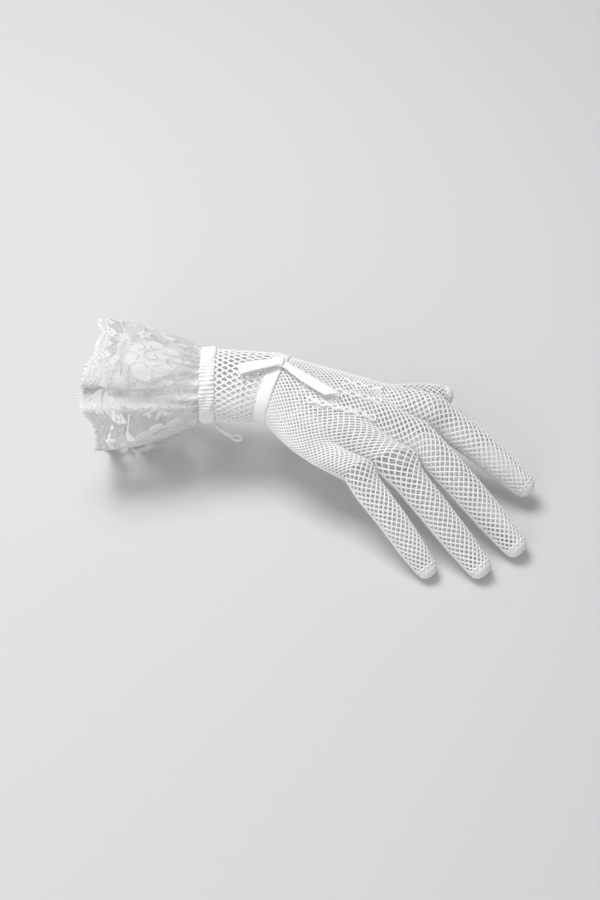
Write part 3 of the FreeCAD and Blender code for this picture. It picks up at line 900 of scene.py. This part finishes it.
# petals that fill the ground round the rose: middle, half lengths and tilt
FILLERS = ((8, 12, 5.0, 2.6, 60), (3, 20, 4.4, 2.4, 110), (52, 18, 5.2, 2.8, 70),
           (54, 30, 4.8, 2.6, 100), (50, 41, 4.8, 2.6, 130), (14, 46, 4.6, 2.4, 30),
           (30, 7, 4.6, 2.2, 0), (38, 47, 4.4, 2.4, 10), (96, 12, 4.2, 2.0, 100),
           (94, 22, 4.6, 2.2, 75), (92, 31, 4.4, 2.0, 105))
BLOSSOMS = ((71.5, 25.5, 5.0), (89, 47, 4.6), (82, 52, 3.6), (96, 41, 3.8), (7, 34, 4.6))
GARLAND = ((0, 47), (12, 45), (26, 47), (40, 46), (56, 48), (75, 50), (100, 47))


def blossom(x, y, cx, cy, size):
    """Small open flower: five petals round a pierced heart."""
    angles = [360 / 5 * number + 20 for number in range(5)]
    petals = disc_wreath(x, y, cx, cy, (0.62 * size, 0.62 * size), angles, (0.46 * size, 0.32 * size))
    return np.minimum(petals, np.hypot(x - cx, y - cy) - 0.16 * size)


def motif_shape(x, y):
    """Flower motifs between the heading and the border, repeated round the strip."""
    u = (x + PATTERN_SHIFT) % PATTERN_REPEAT
    shapes = [rose(u, y, 31, 26.5), ring_flower(u, y, 68.4, 37.6),
              spray(u, y, 88, 19, -152), spray(u, y, 89, 35, -163, -1.0),
              leaf(u, y, (16, 41), (10, 50), 3.6, 0.6),
              leaf(u, y, (44, 42), (56, 49), 4.0, -0.8),
              leaf(u, y, (74, 46), (80, 36), 3.0, 0.5),
              stroke(u, y, GARLAND, 1.3),
              stroke(u, y, ((89, 0), (91, 10), (90, 24), (92, 38)), 1.3)]
    shapes += [blossom(u, y, cx, cy, size) for cx, cy, size in BLOSSOMS]
    for cx, cy, long_half, short_half, tilt in FILLERS:
        petal = disc(u, y, cx, cy, long_half, short_half, tilt)
        shapes.append(np.minimum(petal, np.hypot(u - cx, y - cy) - 0.5))
    shapes.append(3.4 + 1.6 * np.cos(x * 2 * pi / 8.3) - y)
    return np.maximum.reduce(shapes)


CLOTH_CELL = 0.42
CLOTH_LIFT = 0.32


def clothwork(name, shape_at, spans, lift=CLOTH_LIFT, thick=0.45):
    """Raised cloth where shape_at(x, y) is positive, cut from a fine grid laid on the lace.

    The grid's outermost points slide to the shape's own outline, so its edges are smooth.
    """
    (x_low, x_high), (y_low, y_high) = spans
    columns = int((x_high - x_low) / CLOTH_CELL)
    rows = int((y_high - y_low) / CLOTH_CELL)
    xs = x_low + (x_high - x_low) * np.arange(columns + 1) / columns
    ys = y_low + (y_high - y_low) * np.arange(rows + 1) / rows
    y, x = np.meshgrid(ys, xs, indexing="ij")
    value = shape_at(x, y)
    inside = value > 0
    kept = inside[:-1, :-1].astype(int) + inside[1:, :-1] + inside[:-1, 1:] + inside[1:, 1:] >= 3
    slope_y, slope_x = np.gradient(value, ys, xs)
    steep = np.maximum(slope_x ** 2 + slope_y ** 2, 0.15)
    touched = np.zeros_like(inside)
    full = np.ones_like(inside)
    for dy in (0, 1):
        for dx in (0, 1):
            view = (slice(dy, rows + dy), slice(dx, columns + dx))
            touched[view] |= kept
            full[view] &= kept
    full[[0, -1], :] = False
    rim = touched & ~full
    limit = CLOTH_CELL * 0.48
    x = x + np.where(rim, np.clip(-value * slope_x / steep, -limit, limit), 0)
    y = y + np.where(rim, np.clip(-value * slope_y / steep, -limit, limit), 0)
    crown = np.clip(value, 0, 1.0) * 0.35
    quads = grid_faces(rows + 1, columns + 1, False)[kept.ravel()]
    used, renumbered = np.unique(quads, return_inverse=True)
    around, down = x.ravel()[used] / RUFFLE_AROUND, y.ravel()[used] / RUFFLE_LENGTH
    base = ruffle_point(around, down)
    out = -surface_normal(ruffle_point, around, down, 0.002)
    points = base + out * (lift + crown.ravel()[used])[:, None]
    piece = new_mesh(name, points, renumbered.reshape(-1, 4), CLOTHWORK)
    cloth = piece.modifiers.new("thickness", "SOLIDIFY")
    cloth.thickness = thick * MM
    cloth.offset = 0
    return piece


def make_ruffle():
    ground = make_lace_ground()
    flowers = []
    third = RUFFLE_AROUND / 3
    for number in range(3):
        span = ((number * third, (number + 1) * third), (0.3, RUFFLE_LENGTH - 8.0))
        flowers.append(clothwork("lace_flowers_%d" % number, motif_shape, span))
    edges = []
    for number in range(2):
        span = ((number * RUFFLE_AROUND / 2, (number + 1) * RUFFLE_AROUND / 2),
                (RUFFLE_LENGTH - 12.0, RUFFLE_LENGTH + 2.2))
        edges.append(clothwork("lace_border_%d" % number, border_shape, span, lift=0.2, thick=0.6))
    for piece in [ground] + flowers + edges:
        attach(piece, "hand")
    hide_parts("lace_ruffle")
    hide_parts("scalloped_edge")


# ---- bow, point lines, seam end
RIBBON_WIDTH = 6.3
BOW_BASE = box_middle("bow_knot")


def ribbon(name, line, across, width, thickness, material, slant=0.0):
    """Flat ribbon along a line of points; across is its width's direction at each point."""
    across = unit(np.broadcast_to(across, line.shape))
    ahead = unit(np.gradient(line, axis=0))
    up = unit(np.cross(ahead, across))
    widths = np.broadcast_to(width, (len(line),))
    cross_section = []
    steps = 9
    for layer in (1, -1):
        for step in range(steps):
            share = (step / (steps - 1) * 2 - 1) * layer
            edge = (1 - abs(share) ** 6) * 0.8 + 0.2
            cross_section.append((share / 2, layer * thickness / 2 * edge))
    rings = []
    length = len(line)
    for index in range(length):
        tail = slant * max(0.0, (index - length * 0.75) / (length * 0.25))
        wide = across[index] * widths[index] + ahead[index] * tail
        rings.append([line[index] + wide * u + up[index] * v for u, v in cross_section])
    count = len(cross_section)
    faces = [list(face) for face in grid_faces(length, count, True)]
    faces.append(list(range(count))[::-1])
    faces.append([(length - 1) * count + item for item in range(count)])
    return new_mesh(name, np.array(rings).reshape(-1, 3), faces, material)


def make_bow():
    up = BAND_TURN[:, 2]
    knot = BOW_BASE
    loop_low, loop_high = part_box("bow_loop")
    loop_corner = np.array([loop_low[0], loop_low[1], (loop_low[2] + loop_high[2]) / 2]) / MM
    loop_end = loop_corner + np.array([2.2, 3.0, -0.4])
    way = unit(loop_end - knot)
    side = unit(np.cross(up, way))
    length = np.linalg.norm(loop_end - knot)
    turn_angle = np.linspace(0, 2 * pi, 61)
    out = (1 - np.cos(turn_angle)) / 2
    height = 1.9 * np.sin(turn_angle) * (0.45 + 0.55 * out)
    line = knot + way * (out * length)[:, None] + up * (height + 0.3)[:, None] \
        + side * (0.5 * np.sin(turn_angle))[:, None]
    across = side + way * (0.10 * np.sin(turn_angle))[:, None]
    loop_width = RIBBON_WIDTH * (0.62 + 0.46 * out ** 0.6)
    loop = ribbon("bow_ribbon_loop", line, across, loop_width, 0.4, SATIN)
    tail_points = node_points("bow_tail")
    share = np.linspace(0, 1, 40)
    tail_way = unit(tail_points.mean(0) - knot)
    tail_length = ((tail_points - knot) @ tail_way).max()
    sag = -1.0 * np.sin(pi * share) - 2.2 * share ** 2
    tail_side = unit(np.cross(up, tail_way))
    line = knot + tail_way * (share * tail_length)[:, None] + up * (sag + 0.7)[:, None]
    tail_width = RIBBON_WIDTH * (0.66 + 0.32 * smooth(share, 0.1, 0.55))
    tail = ribbon("bow_ribbon_end", line, tail_side, tail_width, 0.4, SATIN, slant=7.0)
    angle = np.linspace(0, 2 * pi, 41)
    knot_way = unit(way * -1 + tail_way)
    knot_side = unit(np.cross(up, knot_way))
    line = knot + knot_side * (np.cos(angle) * RIBBON_WIDTH * 0.42)[:, None] \
        + up * (np.sin(angle) * 1.5 - 0.1)[:, None]
    wrap = ribbon("bow_ribbon_knot", line, knot_way, 4.8, 0.7, SATIN)
    for piece, node in ((loop, "bow_loop"), (tail, "bow_tail"), (wrap, "bow_knot")):
        on_hand(piece, "satin", node)


def make_point_lines():
    """Raised lines of lifted stitches: two cords side by side that part round small eyelets."""
    for name in ("dorsal_point_far", "dorsal_point_middle", "dorsal_point_near"):
        points = node_points(name)
        way = unit(points[np.argmax(points[:, 0])] - points[np.argmin(points[:, 0])])
        along = (points - points.mean(0)) @ way
        first = points.mean(0) + way * along.min()
        length = along.max() - along.min()
        distance = np.arange(0, length, 0.25)
        line = first + way * distance[:, None]
        place = to_hand(line)
        place[:, 2] = hand_height_at(place) + 0.55
        line = from_hand(place)
        normals = np.broadcast_to(HAND_TURN[:, 2], line.shape)
        across = unit(np.cross(normals, way))
        threads = Threads(8)
        part = 1.0 * np.clip(np.sin(distance * 2 * pi / 6.6), 0, 1) ** 0.8 + 0.5
        for sign in (-1, 1):
            bead = 0.74 + 0.14 * np.cos(distance * 2 * pi / 1.3)
            threads.add(line + across * (part * sign)[:, None], normals, bead)
        on_hand(threads.build(name + "_stitches", CLOTHWORK), "stitching", name)


def hand_height_at(place):
    """Height of the back of the net over the hand's middle plane, at places in the hand's frame."""
    columns = np.arange(0, HAND_COLUMNS // 2 + 1)
    shares = np.linspace(0, 1, 60)
    grid_share, grid_column = np.meshgrid(shares, columns, indexing="ij")
    surface = to_hand(hand_surface(grid_column, grid_share)).reshape(-1, 3)
    heights = []
    for spot in place:
        nearest = np.argsort(np.hypot(surface[:, 0] - spot[0], surface[:, 1] - spot[1]))[:4]
        heights.append(surface[nearest, 2].mean())
    return np.convolve(np.pad(heights, 8, mode="edge"), np.ones(17) / 17, mode="valid")


LOOP_START = 0.62                       # share of the loose end where its small loop starts


def make_seam_end():
    """Loose end of the seam: two threads that twist together and end in a small loop."""
    points = node_points("seam_end")
    low, high = points[np.argmin(points[:, 0])], points[np.argmax(points[:, 0])]
    share = np.linspace(0, 1, 90)
    sag = np.array([0, 0, -1.6]) * np.sin(pi * share)[:, None]
    line = low + (high - low) * share[:, None] + sag
    normals = np.broadcast_to(np.array([0.0, 0.0, 1.0]), line.shape)
    ahead = unit(high - low)
    side = unit(np.cross(ahead, [0, 0, 1.0]))
    up = np.cross(side, ahead)
    threads = Threads(8)
    loop = np.where(share > LOOP_START, np.sin((share - LOOP_START) / (1 - LOOP_START) * pi) * 2.0, 0)
    wind = 0.7 * np.where(share > LOOP_START, 0.3, 1.0)
    for sign in (-1, 1):
        twist = share * 26 + (0 if sign > 0 else pi)
        path = (line + side * (np.cos(twist) * wind + sign * loop)[:, None]
                + up * (np.sin(twist) * wind)[:, None])
        threads.add(path, normals, 0.7)
    on_hand(threads.build("seam_end_threads", THREAD), "stitching", "seam_end")


# ---- floor, light and camera
CAMERA_ELEVATION = 48.0
CAMERA_DISTANCE = 900.0
CAMERA_AIM = np.array([-4.8, -0.7, 28.9])
SENSOR = 36.0
LIGHTS = (("key", (-0.35, 0.30, 1.1), 0.6, 10.5), ("fill", (-0.5, -1.0, 0.7), 0.8, 4.0))
FRAME_HEIGHT = 468.0                    # millimetres that the picture's height covers at the glove


def make_stage():
    material = bpy.data.materials.new("studio_floor")
    material.use_nodes = True
    set_inputs(material.node_tree.nodes["Principled BSDF"],
               {"Base Color": (0.66, 0.66, 0.67, 1), "Roughness": 0.9})
    bpy.ops.mesh.primitive_plane_add(size=30)
    floor = bpy.context.object
    floor.name = "studio_floor"
    floor.data.materials.append(material)
    world = bpy.data.worlds.new("studio")
    bpy.context.scene.world = world
    world.use_nodes = True
    set_inputs(world.node_tree.nodes["Background"], {"Color": (1, 1, 1, 1), "Strength": 0.36})
    bpy.context.scene.view_settings.view_transform = "Standard"
    for name, spot, size, power in LIGHTS:
        light = bpy.data.lights.new(name, "AREA")
        light.energy = power
        light.size = size
        lamp = bpy.data.objects.new(name, light)
        lamp.location = spot
        lamp.rotation_euler = (Vector((0, 0, 0.02)) - Vector(spot)).to_track_quat("-Z", "Y").to_euler()
        bpy.context.scene.collection.objects.link(lamp)


def make_camera():
    camera = bpy.data.cameras.new("camera")
    obj = bpy.data.objects.new("camera", camera)
    bpy.context.scene.collection.objects.link(obj)
    elevation = radians(CAMERA_ELEVATION)
    away = np.array([0, -cos(elevation), sin(elevation)])
    obj.location = Vector((CAMERA_AIM + away * CAMERA_DISTANCE) * MM)
    obj.rotation_euler = (pi / 2 - elevation, 0, 0)
    camera.sensor_fit = "VERTICAL"
    camera.sensor_height = SENSOR
    camera.sensor_width = SENSOR
    camera.lens = SENSOR * CAMERA_DISTANCE / FRAME_HEIGHT
    camera.clip_start = 0.01
    bpy.context.scene.camera = obj


make_stage()
make_camera()
make_hand_net()
for finger in FINGERS:
    make_finger(finger)
make_thumb()
make_wrist_net()
make_band()
make_heading()
make_ruffle()
make_bow()
make_point_lines()
make_seam_end()
